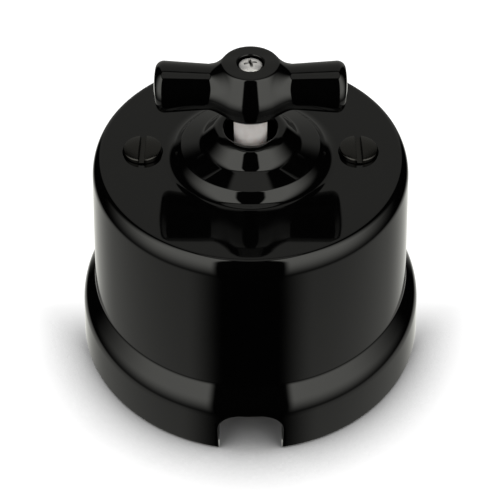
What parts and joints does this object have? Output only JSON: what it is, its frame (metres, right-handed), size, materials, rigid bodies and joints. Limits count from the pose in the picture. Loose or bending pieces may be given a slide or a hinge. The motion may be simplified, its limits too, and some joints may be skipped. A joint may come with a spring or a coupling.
{
  "type": "porcelain rotary switch",
  "caption": "Surface-mounted rotary light switch: black glazed porcelain bell cover with a cable notch and a T-shaped turning knob.",
  "frame": {"origin": "on the knob's axis, in the plane of the wall", "axes": "+Z from the wall to the knob, -Y towards the cable notch, +X along the knob's right arm and the right cover screw"},
  "size_m": [0.07, 0.0693, 0.0645],
  "materials": {
    "black_porcelain": "black gloss glaze over white porcelain",
    "white_porcelain": "white glaze, bare underneath",
    "black_steel": "black satin finish on steel",
    "brass": "turned or pressed brass, bare",
    "zinc_steel": "zinc plated",
    "bright_steel": "bright nickel plated",
    "spring_steel": "polished spring steel",
    "silver_alloy": "silver alloy contact tips",
    "moulded_resin": "dark brown moulded thermoset",
    "white_nylon": "white moulded nylon, smooth"
  },
  "bodies": {
    "housing": {"cover": "black_porcelain", "base": "white_porcelain", "cover_screws": "black_steel", "cover_pillars": "brass", "pillar_screws": "zinc_steel", "mechanism_body": "moulded_resin", "mechanism_cap": "moulded_resin", "mechanism_screws": "zinc_steel", "mechanism_nuts": "zinc_steel", "contact_tips": "silver_alloy", "terminal_screws": "zinc_steel", "terminal_foot_screws": "brass", "detent_spring_left": "spring_steel", "detent_spring_right": "spring_steel", "fixed_contact_front_left": "brass", "terminal_block_front_left": "brass", "fixed_contact_front_right": "brass", "terminal_block_front_right": "brass", "fixed_contact_rear_left": "brass", "terminal_block_rear_left": "brass", "fixed_contact_rear_right": "brass", "terminal_block_rear_right": "brass"},
    "rotor": {"knob": "black_porcelain", "knob_screw": "bright_steel", "spindle": "white_nylon", "contact_carrier": "moulded_resin", "contact_bridge_left": "brass", "contact_bridge_right": "brass", "bridge_rivets": "brass", "contact_spring": "spring_steel"}
  },
  "joints": [
    {"name": "knob_turn", "type": "hinge", "parent": "housing", "child": "rotor", "pos_m": [0, 0, 0.045], "axis": [0, 0, 1], "continuous": true, "deforming": ["detent_spring_left", "detent_spring_right"]}
  ]
}
